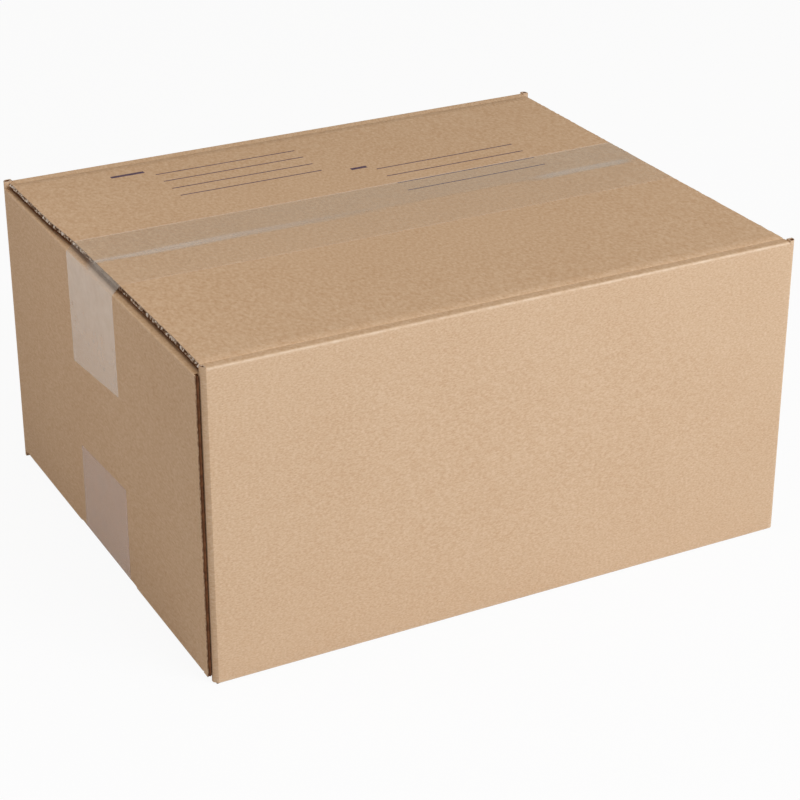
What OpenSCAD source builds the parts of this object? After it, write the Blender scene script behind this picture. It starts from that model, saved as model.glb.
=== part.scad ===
// Closed shipping carton of the regular slotted style. One blank of single-wall corrugated
// board is folded round four upright corners, glued at one of them, and closed above and
// below by two short flaps under two long ones. A strip of clear tape holds each seam.
// X runs along the carton, Y from its front to its back, Z up from the face it rests on.
// The origin is under its middle.

/* [Carton] */
// Length over the two end panels
carton_l = 260; // [220:1:420]
// Width over the front and back panels
carton_w = 213; // [140:1:214]
// Height over the closed long flaps
carton_h = 132; // [110:1:260]

/* [Board] */
// Thickness of the corrugated board
board = 2.8; // [2.4:0.1:4]
// Thickness of the paper liner on each face of the board
liner = 0.4; // [0.2:0.05:0.6]
// Outside radius of the upright folds at the four corners
fold_r = 1.7; // [1.2:0.1:2.2]
// Outside radius of the folds between the panels and their flaps
flap_fold_r = 1.2; // [0.6:0.1:2]
// Air between a short flap and the long flaps that lie on it
ply_gap = 0.2; // [0.1:0.05:0.5]
// Depth of the open channel between the two liners at a cut edge
channel = 1.4; // [0.6:0.1:2]

/* [Flaps] */
// Distance from the left end face to the cut ends of the long flaps
left_slot = 3.6; // [3:0.1:8]
// Distance from the right end face to the cut ends of the long flaps
right_slot = 2.6; // [2:0.1:8]
// Width of the slot between a short flap and the panel beside it
side_slot = 3; // [2:0.1:6]
// Width of the gap where two long flaps meet
seam_gap = 1; // [0.4:0.1:3]
// Distance of the top seam behind the middle
top_seam_y = 3.5; // [-8:0.5:8]
// Height that the panel corners beside the slots stand above the top flaps
ear_rise = 0.5; // [0.2:0.1:1.5]
// Height that the panel corners beside the slots stop above the bottom flaps' underside
ear_lift = 0.6; // [0.2:0.1:1.5]
// Distance from a long panel's face to the back of the strip pressed beside its fold
score_back = 5.6; // [4:0.1:8]
// Width of the step from the pressed strip up to the flap's face
score_step = 0.5; // [0.3:0.1:1.5]
// Depth of the pressed strip at the foot of that step
score_depth = 0.3; // [0.1:0.05:0.35]

/* [Glued joint] */
// Reach of the glue tab behind the left end panel
tab_w = 35; // [25:1:45]
// Thickness of the glue tab, which is pressed thinner than the board
tab_thick = 1.8; // [1.5:0.1:2.4]
// Slope at the top and bottom of the glue tab
tab_taper = 12; // [4:1:20]
// Room between the glue tab and the short flaps above and below it
tab_clear = 1.5; // [0.5:0.1:5]
// Depth of the step from the end panel down to the glue tab
joint_step = 1.9; // [1.4:0.1:2.2]
// Gap between the glue tab's fold and the end panel's cut edge
joint_gap = 0.6; // [0.2:0.1:1]

/* [Tape] */
// Width of both strips of tape
tape_w = 50.8; // [36:0.2:76]
// Thickness of the film and its adhesive
tape_thick = 0.06; // [0.04:0.01:0.12]
// Distance of the top strip's middle behind the carton's middle
top_tape_y = 2.5; // [-6:0.5:6]
// Length of the top strip's legs down the end panels, at their back edge
top_leg = 52; // [30:1:54]
// Length that the slanting cut takes off the front edge of the top strip's legs
top_slant = 5; // [0:0.5:8]
// Length of the bottom strip's legs up the end panels, at their back edge
bottom_leg = 42; // [30:1:46]
// Length that the slanting cut adds to the front edge of the bottom strip's legs
bottom_slant = 3; // [0:0.5:8]

/* [Hidden] */
$fn = 48;
half_l = carton_l / 2;
half_w = carton_w / 2;
// underside of the bottom long flaps, which lie on the bottom strip of tape
base_z = tape_thick;
// upper face of the top long flaps
top_z = base_z + carton_h;
// lower and upper folds of the end panels, one ply inside the long flaps
end_low = base_z + board + ply_gap;
end_high = top_z - board - ply_gap;
// each slot takes in the whole of the upright fold beside it
slot_l = max(left_slot, joint_step + fold_r);
slot_r = max(right_slot, fold_r);
// cut ends of the long flaps
flap_x0 = -half_l + slot_l;
flap_x1 = half_l - slot_r;
flap_l = flap_x1 - flap_x0;
// every flap of this style is cut to half the carton's width
short_flap = (carton_w - seam_gap) / 2;
// sides of the short flaps
side_y = half_w - board - side_slot;
// how far a cutting block reaches past what it cuts
over = 1;

// Rectangle from the origin, with all four corners rounded
module rounded(size, r) {
    translate([r, 0])
        square([size.x - 2 * r, size.y]);
    translate([0, r])
        square([size.x, size.y - 2 * r]);
    for (x = [r, size.x - r], y = [r, size.y - r])
        translate([x, y])
            circle(r);
}

// Board folded round four scores: round outside, sharp inside where the score is crushed
module folded_ring(size, r) {
    difference() {
        rounded(size, r);
        translate([board, board])
            square([size.x - 2 * board, size.y - 2 * board]);
    }
}

// Front panel, back panel and the four long flaps, as one wrap about the X axis
module long_wrap() {
    translate([flap_x0, -half_w, base_z])
        rotate([90, 0, 90])
            linear_extrude(flap_l)
                folded_ring([carton_w, carton_h], flap_fold_r);
}

// End panels and the four short flaps, as one wrap about the Y axis, open between the flaps
module short_wrap() {
    difference() {
        translate([-half_l, side_y, end_low])
            rotate([90, 0, 0])
                linear_extrude(2 * side_y)
                    folded_ring([carton_l, end_high - end_low], flap_fold_r);
        translate([-half_l + short_flap, -half_w, 0])
            cube([carton_l - 2 * short_flap, carton_w, top_z]);
    }
}

// Plan of the sleeve: four panels, with the glued joint at the front left corner
module sleeve_plan() {
    difference() {
        translate([-half_l, -half_w])
            folded_ring([carton_l, carton_w], fold_r);
        translate([-half_l - over, -half_w - over])
            square([joint_step + over, fold_r + joint_gap + over]);
        translate([-half_l + joint_step, -half_w])
            difference() {
                square(fold_r);
                translate([fold_r, fold_r])
                    circle(fold_r);
            }
    }
}

// Parts of the sleeve beside the slots, which the wraps leave out. At the glued joint only
// the front panel's corner stands up beside the slot.
module panel_corners() {
    translate([0, 0, base_z + ear_lift])
        linear_extrude(carton_h - ear_lift + ear_rise)
            difference() {
                intersection() {
                    sleeve_plan();
                    for (y = [-half_w, half_w - board], side = [[-half_l, slot_l], [flap_x1, slot_r]])
                        translate([side[0], y])
                            square([side[1], board]);
                }
                translate([-half_l - over, -half_w - over])
                    square([joint_step + over, board + 2 * over]);
            }
    translate([0, 0, end_low])
        linear_extrude(end_high - end_low)
            intersection() {
                sleeve_plan();
                for (x = [-half_l, half_l - board], y = [-half_w, side_y])
                    translate([x, y])
                        square([board, half_w - side_y]);
            }
}

// Tab of the front panel, folded in behind the left end panel and glued to it
module glue_tab() {
    low = end_low + board + tab_clear;
    high = end_high - board - tab_clear;
    root = -half_w + fold_r;
    tip = -half_w + tab_w;
    translate([-half_l + joint_step, 0, 0])
        rotate([90, 0, 90])
            linear_extrude(tab_thick)
                polygon([[root, low], [tip, low + tab_taper], [tip, high - tab_taper], [root, high]]);
}

// Seams between the long flaps, above and below
module seams() {
    ply = board + ply_gap / 2;
    translate([flap_x0 - over, top_seam_y - seam_gap / 2, top_z - ply])
        cube([flap_l + 2 * over, seam_gap, ply + over]);
    translate([flap_x0 - over, -seam_gap / 2, base_z - over])
        cube([flap_l + 2 * over, seam_gap, ply + over]);
}

// Open fluting between the liners, at both ends of the long flaps and along the glued joint
module cut_edges() {
    for (x = [flap_x0 - over, flap_x1 - channel], z = [base_z, top_z - board])
        translate([x, -half_w + board, z + liner])
            cube([channel + over, carton_w - 2 * board, board - 2 * liner]);
    translate([-half_l + liner, -half_w + fold_r + joint_gap - over, end_low - over])
        cube([joint_step - liner, channel + over, end_high - end_low + 2 * over]);
}

// Strips pressed beside the four long folds. Each slopes down from the fold to a small step.
module scores() {
    start = flap_fold_r + 0.4;
    for (back = [false, true], under = [false, true])
        mirror([0, back ? 1 : 0, 0])
            translate([flap_x0, -half_w, under ? base_z : top_z])
                mirror([0, 0, under ? 1 : 0])
                    rotate([90, 0, 90])
                        linear_extrude(flap_l)
                            polygon([
                                [start, 0],
                                [score_back - score_step, -score_depth],
                                [score_back, 0],
                                [score_back, over],
                                [start, over]
                            ]);
}

module carton() {
    color("#c9a581")
        difference() {
            union() {
                long_wrap();
                short_wrap();
                panel_corners();
                glue_tab();
            }
            seams();
            cut_edges();
            scores();
        }
}

// One end of a strip, from the foot of its leg to the edge of the flap. The first
// coordinate runs inwards from the end face, the second up from the flap, and lift is the
// height above the board. The strip bends round the end panel's fold, where its corners lie
// just outside the arc, and leaves it on a tangent to span the slot.
function strip_end(slot, leg, lift) =
    let (
        middle = [flap_fold_r, -board - ply_gap - flap_fold_r],
        edge = [slot, 0],
        lean = atan2(-middle.y, slot - flap_fold_r) + acos(flap_fold_r / norm(edge - middle)),
        bends = 8,
        turn = (180 - lean) / bends
    )
    concat(
        [[-lift, -leg]],
        [for (i = [0:bends - 1])
            let (a = 180 - (i + 0.5) * turn)
            middle + (flap_fold_r + lift) / cos(turn / 2) * [cos(a), sin(a)]],
        [edge + lift * [cos(lean), sin(lean)]],
        lift > 0 ? [[slot, lift]] : []
    );

function reversed(points) = [for (i = [len(points) - 1:-1:0]) points[i]];

// Side view of one face of a whole strip
function strip_side(leg, lift) = concat(
    [for (p = strip_end(slot_l, leg, lift)) [p.x - half_l, p.y]],
    [for (p = reversed(strip_end(slot_r, leg, lift))) [half_l - p.x, p.y]]
);

// Strip of tape over a seam, with its legs cut off at a slant
module tape_strip(leg, slant) {
    edge = tape_w / 2 + over;
    rise = slant / tape_w;
    difference() {
        rotate([90, 0, 0])
            linear_extrude(tape_w, center = true)
                polygon(concat(strip_side(leg, tape_thick), reversed(strip_side(leg, 0))));
        translate([-half_l - over, 0, -leg])
            rotate([90, 0, 90])
                linear_extrude(carton_l + 2 * over)
                    polygon([
                        [edge, -rise * over],
                        [-edge, slant + rise * over],
                        [-edge, -slant - over],
                        [edge, -slant - over]
                    ]);
    }
}

module top_tape() {
    color("#cbbca6")
        translate([0, top_tape_y, top_z])
            tape_strip(top_leg, top_slant);
}

module bottom_tape() {
    color("#bfae97")
        translate([0, 0, base_z])
            rotate([180, 0, 0])
                tape_strip(bottom_leg + bottom_slant, bottom_slant);
}

carton();
top_tape();
bottom_tape();
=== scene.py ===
# A closed shipping carton of kraft corrugated board, taped over its top and bottom seams.
# X runs along the carton, Y from its front to its back, and Z up from what it stands on.
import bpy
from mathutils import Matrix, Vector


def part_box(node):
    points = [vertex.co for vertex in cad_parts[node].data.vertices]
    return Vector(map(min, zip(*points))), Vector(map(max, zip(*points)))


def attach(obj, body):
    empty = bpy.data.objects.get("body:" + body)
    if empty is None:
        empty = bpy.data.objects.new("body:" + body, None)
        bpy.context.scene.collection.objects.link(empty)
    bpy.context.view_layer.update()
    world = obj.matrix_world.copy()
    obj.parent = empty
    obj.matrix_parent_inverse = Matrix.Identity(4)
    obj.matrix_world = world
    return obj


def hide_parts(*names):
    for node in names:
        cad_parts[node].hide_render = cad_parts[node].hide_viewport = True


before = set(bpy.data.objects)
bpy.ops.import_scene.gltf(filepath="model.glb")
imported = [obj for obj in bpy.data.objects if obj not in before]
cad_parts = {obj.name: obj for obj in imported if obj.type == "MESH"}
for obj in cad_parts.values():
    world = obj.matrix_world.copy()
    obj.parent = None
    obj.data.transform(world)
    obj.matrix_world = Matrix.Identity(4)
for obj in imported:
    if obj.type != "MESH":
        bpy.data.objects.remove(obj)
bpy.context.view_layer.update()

import math

import bpy

# The carton: one blank of single-wall kraft board, creased, folded round four upright
# corners and closed by its flaps. The board is 2.8 mm thick, with a paper liner of 0.4 mm
# on each face and the fluting between them. Its cut edges are torn a little by the die.
mm = 0.001
hair = 0.01 * mm
board, liner, ply_gap = 2.8 * mm, 0.4 * mm, 0.2 * mm
fold_r, flap_fold_r = 1.7 * mm, 1.2 * mm
low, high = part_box("carton")
ear_rise = 0.5 * mm
lid = high.z - ear_rise
left_cut, right_cut = low.x + 3.6 * mm, high.x - 2.6 * mm
top_seam, bottom_seam = 3.5 * mm, 0
joint_step, joint_cut = 1.9 * mm, low.y + 2.3 * mm


def take_up(piece):
    """Selects one piece alone and opens its mesh, with all of it selected."""
    bpy.ops.object.select_all(action="DESELECT")
    piece.select_set(True)
    bpy.context.view_layer.objects.active = piece
    bpy.ops.object.mode_set(mode="EDIT")
    bpy.ops.mesh.select_mode(type="VERT")
    bpy.ops.mesh.select_all(action="SELECT")


def pick(piece, place):
    """Selects the points of the open mesh whose place passes the test."""
    bpy.ops.object.mode_set(mode="OBJECT")
    mesh = piece.data
    mesh.polygons.foreach_set("select", [False] * len(mesh.polygons))
    mesh.edges.foreach_set("select", [False] * len(mesh.edges))
    mesh.vertices.foreach_set("select", [place(v.co) for v in mesh.vertices])
    bpy.ops.object.mode_set(mode="EDIT")


def steps(start, end, step):
    """Places from start to end, both left out, about a step apart."""
    count = max(1, round((end - start) / step))
    return [start + (end - start) * i / count for i in range(1, count)]


def cut_across(piece, axis, places, region=None):
    """Cuts the open mesh, or the region of it, by a plane at each of the places."""
    for place in places:
        if region:
            pick(piece, region)
        else:
            bpy.ops.mesh.select_all(action="SELECT")
        at, facing = [0, 0, 0], [0, 0, 0]
        at[axis], facing[axis] = place, 1
        bpy.ops.mesh.bisect(plane_co=at, plane_no=facing)


def copy_of(node, name):
    """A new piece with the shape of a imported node, merged, and cleared of its triangles."""
    piece = bpy.data.objects.new(name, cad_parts[node].data.copy())
    bpy.context.scene.collection.objects.link(piece)
    piece.data.materials.clear()
    take_up(piece)
    bpy.ops.mesh.customdata_custom_splitnormals_clear()
    bpy.ops.mesh.remove_doubles(threshold=0.001 * mm)
    bpy.ops.mesh.dissolve_limited(angle_limit=math.radians(0.5))
    return piece


def clamp(value):
    """The value, kept between 0 and 1."""
    return min(max(value, 0), 1)


def depth(z):
    """How deep a height lies in the carton, under its lid or over its bottom."""
    return min(lid - z, z - low.z)


def flap_end(co):
    """Whether a point is near the cut ends of the long flaps."""
    return co.x < left_cut + 2 * mm or co.x > right_cut - 2 * mm


def reach(y):
    """How far the lid's flaps reach past their drawn left end, at a place along the slot."""
    back, front = (y - 28 * mm) / (25 * mm), (-80 * mm - y) / (20 * mm)
    return (1.2 * clamp(back) + 0.5 * clamp(front)) * mm


carton = copy_of("carton", "carton_board")
cut_across(carton, 0, steps(low.x, high.x, 6 * mm) + [left_cut + 0.7 * mm, right_cut - 0.7 * mm])
cut_across(carton, 1, steps(low.y, high.y, 10 * mm))
cut_across(carton, 2, steps(low.z, high.z, 8 * mm))
cut_across(carton, 1, steps(low.y + 2 * board, high.y - 2 * board, 1.4 * mm), flap_end)
beside_cuts = [left_cut + at * mm for at in (-2, -1.2, -0.4, 0.2)]
beside_cuts += [right_cut + at * mm for at in (-0.2, 0.4, 1.2)]
cut_across(carton, 0, beside_cuts, lambda co: board < depth(co.z) < board + 0.4 * mm)

# torn paper along the cut ends of the long flaps
pick(carton, lambda co: min(abs(co.x - left_cut), abs(co.x - right_cut)) < 0.2 * mm
     and depth(co.z) < board + 0.1 * mm and abs(co.y) < high.y - board)
bpy.ops.transform.vertex_random(offset=0.14 * mm, uniform=0, normal=0, seed=4)

# the corners beside the slots show their two liners round the hollow of the fluting
bpy.ops.mesh.select_mode(type="FACE")
bpy.ops.mesh.select_all(action="DESELECT")
bpy.ops.object.mode_set(mode="OBJECT")
hollow_share, hollow_depth = (0.62, 0.68, 1), 0.2 * mm
corners = []
for face in carton.data.polygons:
    at, up = face.center.copy(), face.normal.z
    above = at.z > lid + 0.4 * mm
    below = at.z < low.z + 0.7 * mm and not left_cut < at.x < right_cut
    if abs(up) > 0.9 and (above or below):
        corners.append((at, up))
for middle, up in corners:
    sink = (0, 0, -math.copysign(hollow_depth, up))
    for face in carton.data.polygons:
        face.select = (face.center - middle).length < hair
    bpy.ops.object.mode_set(mode="EDIT")
    bpy.ops.mesh.extrude_region_move(TRANSFORM_OT_translate={"value": (0, 0, 0)})
    bpy.ops.transform.resize(value=hollow_share, center_override=middle)
    bpy.ops.mesh.extrude_region_move(TRANSFORM_OT_translate={"value": sink})
    bpy.ops.mesh.select_all(action="DESELECT")
    bpy.ops.object.mode_set(mode="OBJECT")

# the flaps meet almost without a gap, and the lid's left slot narrows at both of its ends
for v in carton.data.vertices:
    v.co.z = min(max(v.co.z, low.z), high.z)
    upper = v.co.z > lid / 2
    seam = top_seam if upper else bottom_seam
    in_ply = depth(v.co.z) < board + 0.15 * mm
    if in_ply and abs(v.co.y - seam) < 0.6 * mm:
        half_gap = 0.03 * mm + 0.04 * mm * clamp(-v.co.x / (100 * mm))
        v.co.y = seam + math.copysign(half_gap, v.co.y - seam)
    in_lid = upper and in_ply and v.co.z < lid + 0.1 * mm
    at_left_cut = abs(v.co.x - left_cut) < 0.9 * mm and abs(v.co.y) < high.y - board + hair
    if in_lid and at_left_cut:
        v.co.x -= reach(v.co.y)


# The blank is folded and taped by hand, so the closed carton is a little out of true. A
# cage round it takes all its pieces with it: each panel bows in by under 1 mm.
bpy.ops.object.add(type="LATTICE", location=(low + high) / 2)
cage = bpy.context.object
cage.scale = high - low
cage.data.points_u, cage.data.points_v, cage.data.points_w = 7, 6, 5
bow = (0.5 * mm, 0.8 * mm, 0.5 * mm)
for point in cage.data.points:
    for axis in range(3):
        across = [abs(point.co[i]) for i in range(3) if i != axis]
        middle = math.prod(math.cos(math.pi * place) for place in across)
        point.co_deform[axis] -= 2 * point.co[axis] * bow[axis] * max(middle, 0) / cage.scale[axis]


def settle(piece):
    """Lets a piece follow the cage."""
    bpy.ops.object.select_all(action="DESELECT")
    piece.select_set(True)
    bpy.context.view_layer.objects.active = piece
    bent = piece.modifiers.new("out of true", "LATTICE")
    bent.object = cage
    bpy.ops.object.modifier_apply(modifier=bent.name)


def linear(colour):
    """An sRGB hex colour as the linear numbers a shader works in."""
    parts = [int(colour[i:i + 2], 16) / 255 for i in (1, 3, 5)]
    return [c / 12.92 if c <= 0.04045 else ((c + 0.055) / 1.055) ** 2.4 for c in parts] + [1]


def add(tree, kind, settings=None, links=None):
    """Adds a node with its settings, by property or socket, and what feeds its sockets."""
    made = tree.nodes.new("ShaderNode" + kind)
    for name, value in (settings or {}).items():
        if isinstance(name, int) or name in made.inputs:
            made.inputs[name].default_value = value
        elif name == "ramp":
            for stop, (at, colour) in enumerate(value):
                if stop > 1:
                    made.color_ramp.elements.new(at)
            for stop, (at, colour) in zip(made.color_ramp.elements, sorted(value)):
                stop.position, stop.color = at, linear(colour)
        else:
            setattr(made, name, value)
    for name, source in (links or {}).items():
        tree.links.new(source, made.inputs[name])
    return made


def finish(name):
    """A new material with an empty node tree."""
    made = bpy.data.materials.new(name)
    made.use_nodes = True
    made.node_tree.nodes.clear()
    return made


def bare_paper(name, noise, ramp, relief, roughness):
    """Paper with no smooth face: one noise gives both its tone and its relief."""
    made = finish(name)
    tree = made.node_tree
    place = add(tree, "TexCoord").outputs["Object"]
    torn = add(tree, "TexNoise", noise, {"Vector": place})
    shade = add(tree, "ValToRGB", {"ramp": ramp}, {0: torn.outputs[0]})
    strength, distance = relief
    rough = add(tree, "Bump", {"Strength": strength, "Distance": distance}, {"Height": torn.outputs[0]})
    surface = add(tree, "BsdfPrincipled", {"Roughness": roughness, "IOR": 1.3},
                  {"Base Color": shade.outputs[0], "Normal": rough.outputs[0]})
    add(tree, "OutputMaterial", links={"Surface": surface.outputs[0]})
    return made


def crest_weight(a, b, r):
    """How near a point of a fold lies to its crest, from its depth behind the two faces that meet there."""
    in_fold = -hair < a < r + hair and -hair < b < r + hair
    return 1 - abs(a - b) / r if in_fold else 0


# the end folds are pressed sharper beside the tape, the fold at the glued joint is flattened,
# and down in the slots the liner gets painted shade, which is marked below zero; above zero
# the mark weighs the folds' pale wear and painted highlight
press, clear_of_tape, clear_of_corner = 0.32, 31 * mm, 6 * mm
rubbed = carton.data.attributes.new("rubbed", "FLOAT", "POINT")
for v, mark in zip(carton.data.vertices, rubbed.data):
    upper, left = v.co.z > lid / 2, v.co.x < 0
    side, end = high.y - abs(v.co.y), min(v.co.x - low.x, high.x - v.co.x)
    inner = depth(v.co.z) - board - ply_gap
    at_joint = left and v.co.y < 0
    from_joint = v.co.x - low.x - joint_step
    long_fold, end_fold = crest_weight(side, depth(v.co.z), flap_fold_r), crest_weight(end, inner, flap_fold_r)
    upright_fold = crest_weight(side, from_joint if at_joint else end, fold_r)
    mark.value = max(long_fold, 0.4 * end_fold, 0.6 * upright_fold)
    slot = left_cut - low.x - (reach(v.co.y) if upper else 0) if left else high.x - right_cut
    # painted shade: the slot floor beside the cut is marked below zero, to be painted darker
    in_slot = -hair < inner < 0.45 * mm and slot - 1.2 * mm < end < slot + 2 * mm
    if in_slot and side > board:
        mark.value = -min((end - slot + 1.2 * mm) / (0.8 * mm), 1)
    if end_fold > 0 and clear_of_tape < abs(v.co.y) < high.y - clear_of_corner:
        v.co.x += math.copysign(press * end_fold * (flap_fold_r - end), v.co.x)
        v.co.z += math.copysign(press * end_fold * (flap_fold_r - inner), v.co.z - lid / 2)
    if at_joint and upright_fold > 0:
        mark.value = 0
        flatter = 0.4 * (fold_r - side - from_joint)
        v.co.x, v.co.y = v.co.x + flatter, v.co.y + flatter

# Unbleached kraft liner: matt paper with fibres and tiny flocks under 1 mm, which lie a
# little along the carton, soft clouds of tone, a few dark shives, and paler folds, partly
# worn and partly a painted highlight along their crest. Down in the slots it is painted
# darker, as painted shade.
kraft = finish("unbleached kraft liner")
tree = kraft.node_tree
place = add(tree, "TexCoord").outputs["Object"]
drawn = add(tree, "Mapping", {"Scale": (0.7, 0.45, 1.5)}, {"Vector": place}).outputs[0]
fibres = add(tree, "TexNoise", {"Scale": 1250, "Detail": 2.5, "Roughness": 0.6}, {"Vector": drawn})
clouds = add(tree, "TexNoise", {"Scale": 25, "Detail": 4}, {"Vector": place})
tone = add(tree, "Math", {"operation": "MULTIPLY_ADD", 1: 0.12}, {0: clouds.outputs[0], 2: fibres.outputs[0]})
shade = add(tree, "ValToRGB", {"ramp": [(0.26, "#b8926c"), (0.86, "#d4b796")]}, {0: tone.outputs[0]})
shives = add(tree, "TexNoise", {"Scale": 1700, "Detail": 1}, {"Vector": drawn})
shive = add(tree, "MapRange", {"From Min": 0.71, "From Max": 0.8, "To Max": 0.45}, {0: shives.outputs[0]})
# a Mix node takes its share at socket 0 and its two colours at sockets 6 and 7
flecked = add(tree, "Mix", {"data_type": "RGBA", 7: linear("#8d6742")},
              {0: shive.outputs[0], 6: shade.outputs[0]})
wear_and_light_marks = add(tree, "Attribute", {"attribute_name": "rubbed"})
patches = add(tree, "TexNoise", {"Scale": 220, "Detail": 3}, {"Vector": place})
patch = add(tree, "MapRange", {"From Min": 0.3, "From Max": 0.7, "To Min": 0.25, "To Max": 0.95},
            {0: patches.outputs[0]})
wear_and_highlight = add(tree, "Math", {"operation": "MULTIPLY"}, {0: wear_and_light_marks.outputs["Fac"], 1: patch.outputs[0]})
# pale folds: partly their wear, partly a painted highlight along the crest
folded = add(tree, "Mix", {"data_type": "RGBA", 7: linear("#e0c8ab")},
             {0: wear_and_highlight.outputs[0], 6: flecked.outputs[2]})
# painted shade: points marked below zero, down in the slots, are mixed toward dark brown
slot_shade_share = add(tree, "MapRange", {"From Min": 0, "From Max": -1, "To Min": 0, "To Max": 0.6},
           {0: wear_and_light_marks.outputs["Fac"]})
painted_slot_shade = add(tree, "Mix", {"data_type": "RGBA", 7: linear("#6e4525")},
           {0: slot_shade_share.outputs[0], 6: folded.outputs[2]})
grain = add(tree, "Bump", {"Strength": 0.5, "Distance": 0.012 * mm}, {"Height": fibres.outputs[0]})
dents = add(tree, "Bump", {"Strength": 0.6, "Distance": 0.3 * mm},
            {"Height": wear_and_highlight.outputs[0], "Normal": grain.outputs[0]})
surface = add(tree, "BsdfPrincipled", {"Roughness": 0.8, "IOR": 1.35},
              {"Base Color": painted_slot_shade.outputs[2], "Normal": dents.outputs[0]})
add(tree, "OutputMaterial", links={"Surface": surface.outputs[0]})

# Liner paper where the die has cut it: pale, fuzzy and unsized.
raw = bare_paper("kraft liner, cut edge", {"Scale": 1100, "Detail": 3, "Roughness": 0.7},
                 [(0.34, "#8a6d52"), (0.5, "#b79d83"), (0.66, "#d8cab8")], (0.6, 0.1 * mm), 0.95)

# The inside of the board, between the liners: recycled medium, much browner than the liner,
# with a dusty, fibrous surface. It is laid also, as painted shade, on the liner paper down in
# the flaps' channels and the glued joint, and on the inner liner's cut edge at the flap ends.
inside = bare_paper("recycled fluting medium and painted shade", {"Scale": 600, "Detail": 4, "Roughness": 0.6},
                    [(0.35, "#5c361b"), (0.65, "#835833")], (0.5, 0.1 * mm), 0.9)

# Where no die has torn it, the same medium is clean and warm brown.
clean = bare_paper("fluting medium, clean", {"Scale": 500, "Detail": 3},
                   [(0.35, "#523018"), (0.7, "#74492a")], (0.5, 0.1 * mm), 0.9)

# At the glued joint the cut edge of the outer liner is painted mid brown, as painted shade.
edge_in_painted_shade = bare_paper("kraft liner, cut edge in painted shade", {"Scale": 700, "Detail": 3, "Roughness": 0.6},
                     [(0.4, "#5f4029"), (0.6, "#9c8164")], (0.5, 0.1 * mm), 0.95)

papers = [kraft, raw, inside, clean, edge_in_painted_shade]
for paper in papers:
    carton.data.materials.append(paper)
for face in carton.data.polygons:
    at, facing = face.center, face.normal
    upper, deep = at.z > lid / 2, depth(at.z)
    in_flaps, in_ply = abs(at.y) < high.y - board, deep < board + ply_gap
    into = min(at.x - left_cut + (reach(at.y) if in_flaps and upper else 0), right_cut - at.x)
    from_seam = abs(at.y - (top_seam if upper else bottom_seam))
    at_joint = at.x < low.x + joint_step + hair and joint_cut - 0.7 * mm < at.y < joint_cut + 1.8 * mm
    shown = kraft
    # painted shade: the inner half of each flap's cut end, with its liner's edge, and the liner walls of the
    # channel behind it, get the dark medium
    if in_flaps and in_ply and abs(into) < 0.2 * mm and abs(facing.x) > 0.5:
        shown = raw if deep < board / 2 else inside
    elif in_flaps and in_ply and deep > liner - 0.1 * mm and 0.2 * mm < into < 1.8 * mm:
        shown = inside
    elif in_ply and from_seam < 0.4 * mm and abs(facing.y) > 0.7:
        shown = inside
    # painted shade: in the joint's groove the faces get the dark medium, and the outer liner's cut edge gets
    # the painted-shade brown
    elif at_joint and abs(facing.x) < 0.9:
        shown = edge_in_painted_shade if at.x < low.x + liner and facing.y < -0.7 else inside
    elif into < -0.1 * mm and abs(facing.z) > 0.9 and deep < 2 * mm:
        on_rim = deep < -0.4 * mm or 0.5 * mm < deep < 0.7 * mm
        shown = raw if on_rim else clean
    face.material_index = papers.index(shown)
settle(carton)
bpy.ops.object.shade_smooth_by_angle(angle=math.radians(35))
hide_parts("carton")
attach(carton, "root")


# The fluting: the wavy paper between the liners. The long flaps' ends and the glued edge are
# cut along a flute, so one slope of the wave shows there, crushed and torn by the knife. Each
# strip starts under the outer liner and slants back across the board.
fluting = bare_paper("fluting medium, torn", {"Scale": 520, "Detail": 3, "Roughness": 0.7},
                     [(0.42, "#4f321d"), (0.51, "#94795f"), (0.62, "#e6dccf")], (1, 0.2 * mm), 0.95)


def fluting_strip(name, seed, ragged, paper):
    """One torn strip along Y from 0 to 1: X runs into the cut, Z down from the outer liner."""
    bpy.ops.object.select_all(action="DESELECT")
    bpy.ops.mesh.primitive_plane_add(size=1, location=(0, 0.5, 0))
    strip = bpy.context.object
    strip.name = strip.data.name = name
    bpy.ops.object.transform_apply(location=True)
    take_up(strip)
    bpy.ops.transform.resize(value=(0.25 * mm, 1, 1), center_override=(0, 0, 0))
    bpy.ops.transform.translate(value=(0.3 * mm, 0, -0.1 * mm))
    edge = 0.425 * mm
    for shift, drop in ((-0.45, -0.4), (-0.15, -0.5), (0.45, -0.45)):
        pick(strip, lambda co: abs(co.x - edge) < 0.001 * mm)
        bpy.ops.mesh.extrude_region_move(TRANSFORM_OT_translate={"value": (shift * mm, 0, drop * mm)})
        edge += shift * mm
    cut_across(strip, 1, steps(0, 1, 0.01))
    bpy.ops.mesh.select_all(action="SELECT")
    bpy.ops.transform.vertex_random(offset=ragged, uniform=0, normal=0, seed=seed)
    bpy.ops.object.mode_set(mode="OBJECT")
    wall = strip.modifiers.new("paper", "SOLIDIFY")
    wall.thickness = 0.16 * mm
    bpy.ops.object.modifier_apply(modifier=wall.name)
    strip.data.materials.append(paper)
    return strip


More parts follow.
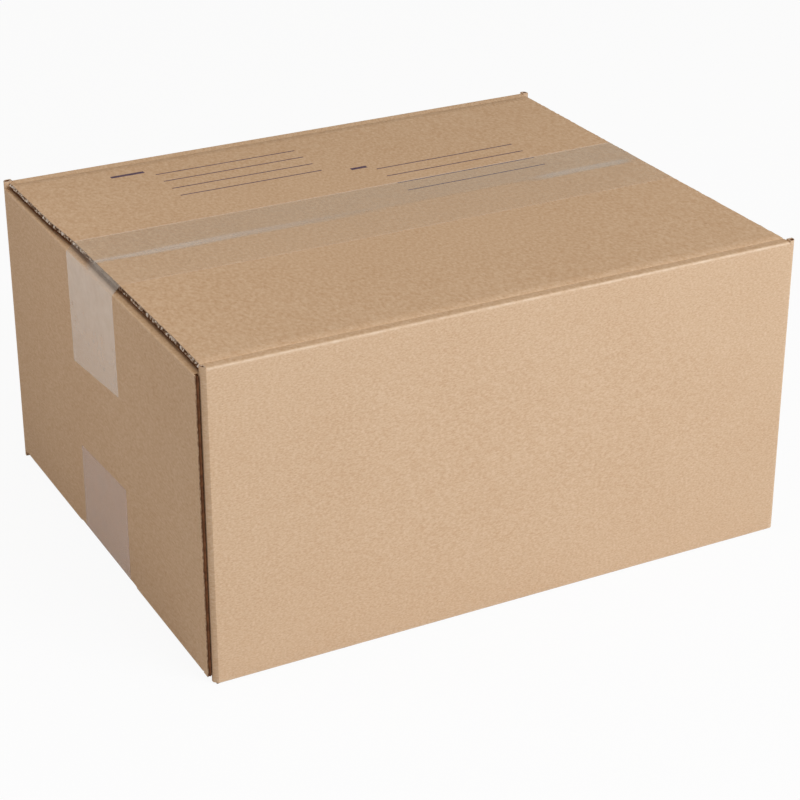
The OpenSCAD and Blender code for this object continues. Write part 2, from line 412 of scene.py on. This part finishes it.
strips = []
ends = [(left_cut, 1), (right_cut, -1)]
liners = [(lid - liner, 1, top_seam), (low.z + liner, -1, bottom_seam)]
for x, inward in ends:
    for z, up, seam in liners:
        for y0, y1 in ((low.y + board, seam - 0.5 * mm), (seam + 0.5 * mm, high.y - board)):
            strip = fluting_strip("flap_fluting_%d" % len(strips), 10 + len(strips), 0.26 * mm, fluting)
            in_narrow_slot = x == left_cut and up == 1
            crush = 1.2 if y0 < 0 else 1
            for v in strip.data.vertices:
                along = y0 + (y1 - y0) * v.co.y
                past = reach(along) if in_narrow_slot else 0
                v.co = (x + inward * v.co.x - past, along, z + up * (v.co.z * crush))
            strips.append(strip)
joint_low, joint_high = low.z + board + 0.4 * mm, lid - board - 0.4 * mm
strip = fluting_strip("joint_fluting", 30, 0.05 * mm, clean)
for v in strip.data.vertices:
    v.co = (low.x + liner - 0.8 * v.co.z, joint_cut + v.co.x, joint_low + (joint_high - joint_low) * v.co.y)
strips.append(strip)
for strip in strips:
    take_up(strip)
    bpy.ops.mesh.normals_make_consistent(inside=False)
    bpy.ops.object.mode_set(mode="OBJECT")
    settle(strip)
    bpy.ops.object.shade_smooth_by_angle(angle=math.radians(50))
    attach(strip, "root")


# The print on the lid: two blocks of four ruled lines, 9.4 mm apart, for the sender and the
# receiver, each with a short solid bar at its head. It is thin purple-black flexo ink.
ink = finish("flexographic ink on kraft")
tree = ink.node_tree
place = add(tree, "TexCoord").outputs["Object"]
patchy = add(tree, "TexNoise", {"Scale": 900, "Detail": 3}, {"Vector": place})
shade = add(tree, "ValToRGB", {"ramp": [(0.4, "#46334a"), (0.75, "#705660")]}, {0: patchy.outputs[0]})
surface = add(tree, "BsdfPrincipled", {"Roughness": 0.6, "IOR": 1.45}, {"Base Color": shade.outputs[0]})
add(tree, "OutputMaterial", links={"Surface": surface.outputs[0]})

# the ends that a block's lines share, the place of each line, and the bar's ends and place, in mm
rule_width, bar_width, ink_rise = 0.7 * mm, 2.2 * mm, 0.02 * mm
blocks = {
    "sender_rules": ((-68.6, -2.5), (83.8, 74.7, 65.2, 56.0), (-87.2, -72.0, 89.2)),
    "receiver_rules": ((19.5, 87.4), (46.3, 36.6, 26.9, 17.3), (9.3, 16.9, 51.1)),
}
for name, (ends, rows, bar) in blocks.items():
    bpy.ops.object.select_all(action="DESELECT")
    strokes = [(*ends, row, rule_width) for row in rows] + [(*bar, bar_width)]
    parts = []
    for x0, x1, y, width in strokes:
        bpy.ops.mesh.primitive_cube_add(size=1, location=((x0 + x1) / 2 * mm, y * mm, lid))
        stroke = bpy.context.object
        stroke.scale = ((x1 - x0) * mm, width, 2 * ink_rise)
        bpy.ops.object.transform_apply()
        parts.append(stroke)
    for stroke in parts:
        stroke.select_set(True)
    bpy.ops.object.join()
    block = bpy.context.object
    block.name = block.data.name = name
    take_up(block)
    cut_across(block, 0, steps(min(ends[0], bar[0]) * mm, ends[1] * mm, 1.5 * mm))
    bpy.ops.object.mode_set(mode="OBJECT")
    # the edges waver a little, but the ink keeps its thickness
    heights = [lid + math.copysign(ink_rise, v.co.z - lid) for v in block.data.vertices]
    take_up(block)
    bpy.ops.transform.vertex_random(offset=0.03 * mm, uniform=0, normal=0, seed=7)
    bpy.ops.object.mode_set(mode="OBJECT")
    for v, height in zip(block.data.vertices, heights):
        v.co.z = height
    settle(block)
    block.data.materials.append(ink)
    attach(block, "root")


# The tape: clear polypropylene packing film, 50.8 mm wide, pressed over each seam and down
# both end panels. The film itself hardly shows. What shows is the haze of the air left under
# it: whitish along the seam and its own edges. Where it spans the lid's left slot it is bluish
# grey, painted darker as painted shade where it sinks into the slot.
half_tape = 25.4 * mm
film = finish("polypropylene packing film")
tree = film.node_tree
place = add(tree, "TexCoord").outputs["Object"]
haze = add(tree, "Attribute", {"attribute_name": "haze"})
wet = add(tree, "TexNoise", {"Scale": 150, "Detail": 4, "Roughness": 0.6}, {"Vector": place})
uneven = add(tree, "MapRange", {"From Min": 0.3, "From Max": 0.7, "To Min": 0.9, "To Max": 1.1},
             {0: wet.outputs[0]})
seen = add(tree, "Math", {"operation": "MULTIPLY"}, {0: haze.outputs["Alpha"], 1: uneven.outputs[0]})
surface = add(tree, "BsdfPrincipled", {"Roughness": 0.35, "IOR": 1.49},
              {"Base Color": haze.outputs["Color"], "Alpha": seen.outputs[0]})
add(tree, "OutputMaterial", links={"Surface": surface.outputs[0]})


def between(value, start, end):
    """Rises smoothly from 0 at the start to 1 at the end."""
    share = clamp((value - start) / (end - start))
    return share * share * (3 - 2 * share)


def haze_and_shade_at(co, middle, seam):
    """Tone of the haze under the film at a point, with painted shade where it spans the lid's slot, and its
    share of what is seen there.
    """
    across = (co.y - middle) / half_tape
    along = (co.x - low.x) / (high.x - low.x)
    edge = between(abs(across), 0.955, 0.985)
    if co.z > lid - 0.2 * mm or co.z < low.z + 0.2 * mm:
        # a streak follows the seam, fades by the middle and comes back near the right end
        drift = 0.4 * mm + 0.3 * mm * math.sin(co.x / (13 * mm))
        half_width = (2.65 + 0.9 * between(along, 0.03, 0.14)) * mm
        streak = between(half_width - abs(co.y - seam - drift), 0, 2.2 * mm)
        left_part = 1 - between(along, 0.12, 0.6)
        streak *= left_part + 0.7 * between(along, 0.76, 0.82) * (1 - between(along, 0.95, 0.98))
        back = between(co.y, seam - 0.2 * mm, seam + 0.8 * mm)
        share = 0.05 + 0.08 * back + 0.03 * edge
        share += (0.36 - share) * streak
        tone = [0.43, 0.4 + 0.06 * along, 0.33 + 0.1 * along]
        tone = [part + lift * streak for part, lift in zip(tone, (0.17, 0.15, 0.15))]
        return [part + (pale - part) * edge for part, pale in zip(tone, (0.85, 0.77, 0.68))], share
    if low.x + 0.5 * mm < co.x < left_cut + 0.1 * mm:
        # over the lid's slot the film is painted darker where it sinks in, as painted shade, and its haze is
        # thickest in the film's front part
        loose = 1 - between(across, -0.05, 0.3)
        painted_slot_shade = between(co.x, low.x + 0.8 * mm, low.x + 1.8 * mm)
        painted_slot_shade *= 1 - 0.6 * between(co.x, low.x + 2.4 * mm, left_cut)
        return [0.76 - 0.4 * painted_slot_shade, 0.67 - 0.36 * painted_slot_shade, 0.57 - 0.31 * painted_slot_shade], 0.1 + 0.36 * loose
    if co.z < lid / 2:
        return [0.65, 0.49, 0.39], 0.32 + 0.05 * edge
    return [0.86, 0.78, 0.67], 0.26 + 0.08 * between(co.z, 80 * mm, 125 * mm) + 0.05 * edge


for node, middle, seam in (("top_tape", 2.5 * mm, top_seam), ("bottom_tape", 0, bottom_seam)):
    strip = copy_of(node, node + "_film")
    over_slot = [low.x + at * mm for at in (0.6, 1.2, 1.8, 2.4, 3.0, 3.4, 4.0)]
    along_edges = [middle + side * (25.4 - inset) * mm for side in (-1, 1) for inset in (0.4, 1.2)]
    cut_across(strip, 0, steps(low.x, high.x, 6 * mm) + over_slot)
    cut_across(strip, 1, steps(middle - half_tape, middle + half_tape, 0.8 * mm) + along_edges)
    cut_across(strip, 2, steps(low.z, high.z, 8 * mm))
    bpy.ops.object.mode_set(mode="OBJECT")
    shares = strip.data.attributes.new("haze", "FLOAT_COLOR", "POINT")
    for v, mark in zip(strip.data.vertices, shares.data):
        tone, share = haze_and_shade_at(v.co, middle, seam)
        mark.color = (*tone, share)
        # the film's inner face keeps a little off the board, so that the two never mix
        if node == "top_tape" and abs(v.co.z - lid) < hair:
            v.co.z += 0.03 * mm
        elif node == "bottom_tape" and abs(v.co.z - low.z) < hair:
            v.co.z -= 0.03 * mm
        elif high.x - hair < abs(v.co.x) < high.x + hair:
            v.co.x += math.copysign(0.03 * mm, v.co.x)
    settle(strip)
    bpy.ops.object.shade_smooth_by_angle(angle=math.radians(35))
    strip.data.materials.append(film)
    strip.visible_shadow = False
    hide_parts(node)
    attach(strip, "root")

bpy.data.objects.remove(cage)

# The studio: a pale sweep that keeps the carton's soft shadow, a large soft key light from
# the front, a softer one overhead, a small weak one near the left end and an even pale fill.
bpy.ops.mesh.primitive_plane_add(size=12, location=(0, 0, 0))
floor = bpy.context.object
floor.name = "floor"
sweep = finish("pale paper sweep")
tree = sweep.node_tree
ray = add(tree, "LightPath").outputs
looked = add(tree, "Math", {"operation": "MAXIMUM"}, {0: ray["Is Camera Ray"], 1: ray["Is Glossy Ray"]})
seen = add(tree, "Math", {"operation": "MAXIMUM"}, {0: looked.outputs[0], 1: ray["Is Transmission Ray"]})
share = add(tree, "Math", {"operation": "MULTIPLY", 1: 0.93}, {0: seen.outputs[0]})
matt = add(tree, "BsdfDiffuse", {"Color": linear("#dedede")})
bright = add(tree, "Emission", {"Color": linear("#ffffff"), "Strength": 1.0})
both = add(tree, "MixShader", links={0: share.outputs[0], 1: matt.outputs[0], 2: bright.outputs[0]})
add(tree, "OutputMaterial", links={"Surface": both.outputs[0]})
floor.data.materials.append(sweep)

world = bpy.data.worlds.new("studio")
bpy.context.scene.world = world
world.use_nodes = True
tree = world.node_tree
tree.nodes.clear()
ray = add(tree, "LightPath").outputs
fill = add(tree, "Background", {"Color": linear("#fffaf4"), "Strength": 0.37})
white = add(tree, "Background", {"Color": linear("#ffffff"), "Strength": 1.0})
both = add(tree, "MixShader", links={0: ray["Is Camera Ray"], 1: fill.outputs[0], 2: white.outputs[0]})
add(tree, "OutputWorld", links={"Surface": both.outputs[0]})

# each lamp's place and size in metres, its power in watts and its colour
lamps = {
    "key_light": ((0.65, -1.45, 0.8), 1.1, 27.2, "#e2edff"),
    "top_light": ((0.3, -0.5, 1.6), 1.2, 6, "#ffebcb"),
    "left_light": ((-0.42, 0.03, 0.28), 0.25, 0.33, "#f4f1f8"),
}
for name, (place, size, power, colour) in lamps.items():
    bpy.ops.object.light_add(type="AREA", location=place)
    lamp = bpy.context.object
    lamp.name = name
    lamp.data.energy, lamp.data.size = power, size
    lamp.data.color = linear(colour)[:3]
    lamp.visible_camera = False
    lamp.rotation_euler = lamp.location.to_track_quat("Z", "Y").to_euler()

tilt_down, turn = math.radians(25.22), math.radians(-27.693)
bpy.ops.object.camera_add(location=(-0.39199, -0.75945, 0.46589))
camera = bpy.context.object
camera.rotation_euler = (math.radians(90) - tilt_down, 0, turn)
camera.data.sensor_width = 36
camera.data.lens = 99.31
camera.data.shift_y = -0.05
bpy.context.scene.camera = camera
bpy.context.scene.view_settings.view_transform = "Standard"
